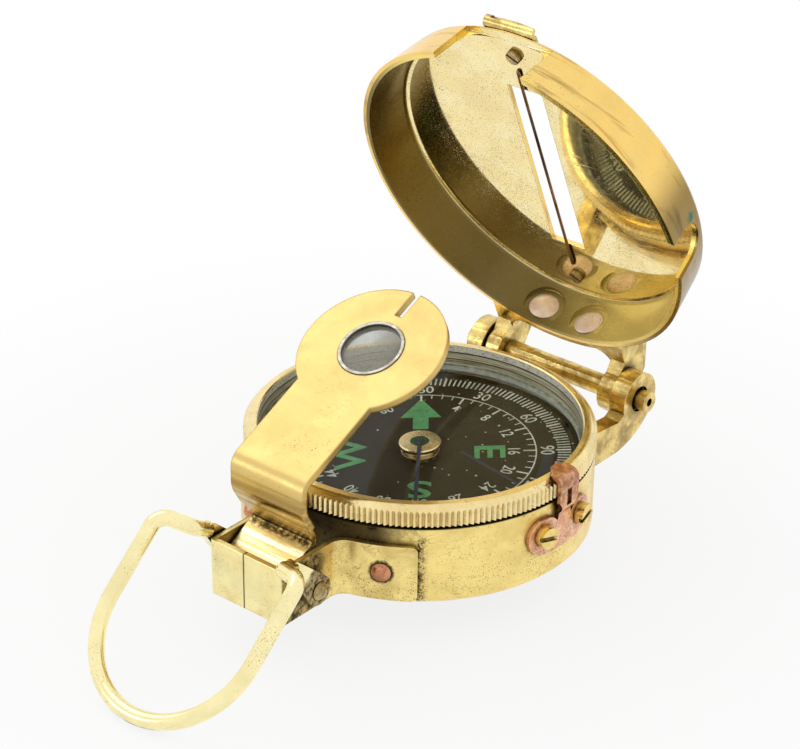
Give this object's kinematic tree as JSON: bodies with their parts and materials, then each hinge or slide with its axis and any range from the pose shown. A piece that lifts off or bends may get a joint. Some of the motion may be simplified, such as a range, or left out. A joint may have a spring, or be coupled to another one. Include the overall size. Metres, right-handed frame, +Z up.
{
  "type": "sighting compass",
  "caption": "Round brass sighting compass with a turning bezel over a free card, a hinged lid with window and sighting wire, a folding lens arm and a wire thumb ring.",
  "frame": {"origin": "centre of the flat underside of the case", "axes": "+Z up through the glass, +Y towards the lid hinge, +X towards the detent spring"},
  "size_m": [0.0603, 0.108, 0.082],
  "materials": {
    "brass": "brushed and worn",
    "plain_brass": "turned",
    "copper": "worn copper",
    "nickel": "dull plated",
    "steel_wire": "plain",
    "dark_wire": "tarnished",
    "crystal": "clear",
    "card_black": "printed",
    "jewel_green": "glossy"
  },
  "bodies": {
    "case": {"case_body": "brass", "bezel_snap_wire": "steel_wire", "pivot_post": "plain_brass", "pivot_needle": "steel_wire", "front_bracket": "brass", "bracket_rivets": "copper", "arm_pin": "brass", "ring_rivets": "brass", "detent_spring": "copper", "detent_screws": "brass", "hinge_bracket": "brass", "hinge_pin": "brass"},
    "bezel": {"bezel_ring": "brass", "bezel_glass": "crystal", "glass_ring": "nickel"},
    "card": {"compass_card": "card_black", "card_hub": "brass", "jewel": "jewel_green", "magnet_bar": "steel_wire"},
    "arm": {"sight_arm": "brass", "lens_ring": "nickel", "sight_lens": "crystal"},
    "ring": {"thumb_ring": "brass"},
    "lid": {"lid_shell": "brass", "lid_bracket": "brass", "lid_rivets": "copper", "hinge_sleeve": "brass", "sighting_wire": "dark_wire", "wire_pins": "brass", "lid_latch": "brass"}
  },
  "joints": [
    {"name": "bezel_turn", "type": "hinge", "parent": "case", "child": "bezel", "pos_m": [0, 0, 0.015], "axis": [0, 0, 1], "continuous": true},
    {"name": "card_turn", "type": "hinge", "parent": "case", "child": "card", "pos_m": [0, 0, 0.011], "axis": [0, 0, 1], "continuous": true},
    {"name": "lid_hinge", "type": "hinge", "parent": "case", "child": "lid", "pos_m": [0, 0.0365, 0.0108], "axis": [-1, 0, 0], "range_deg": [-66.2, 72]},
    {"name": "arm_fold", "type": "hinge", "parent": "case", "child": "arm", "pos_m": [0, -0.0352, 0.006], "axis": [1, 0, 0], "range_deg": [-31.5, 34.5]},
    {"name": "ring_swing", "type": "hinge", "parent": "case", "child": "ring", "pos_m": [0, -0.0338, 0.005], "axis": [1, 0, 0], "range_deg": [-42, 138]}
  ],
  "couplings": [
    {"joint": "arm_fold", "follows": "lid_hinge", "ratio": 0.46828}
  ]
}
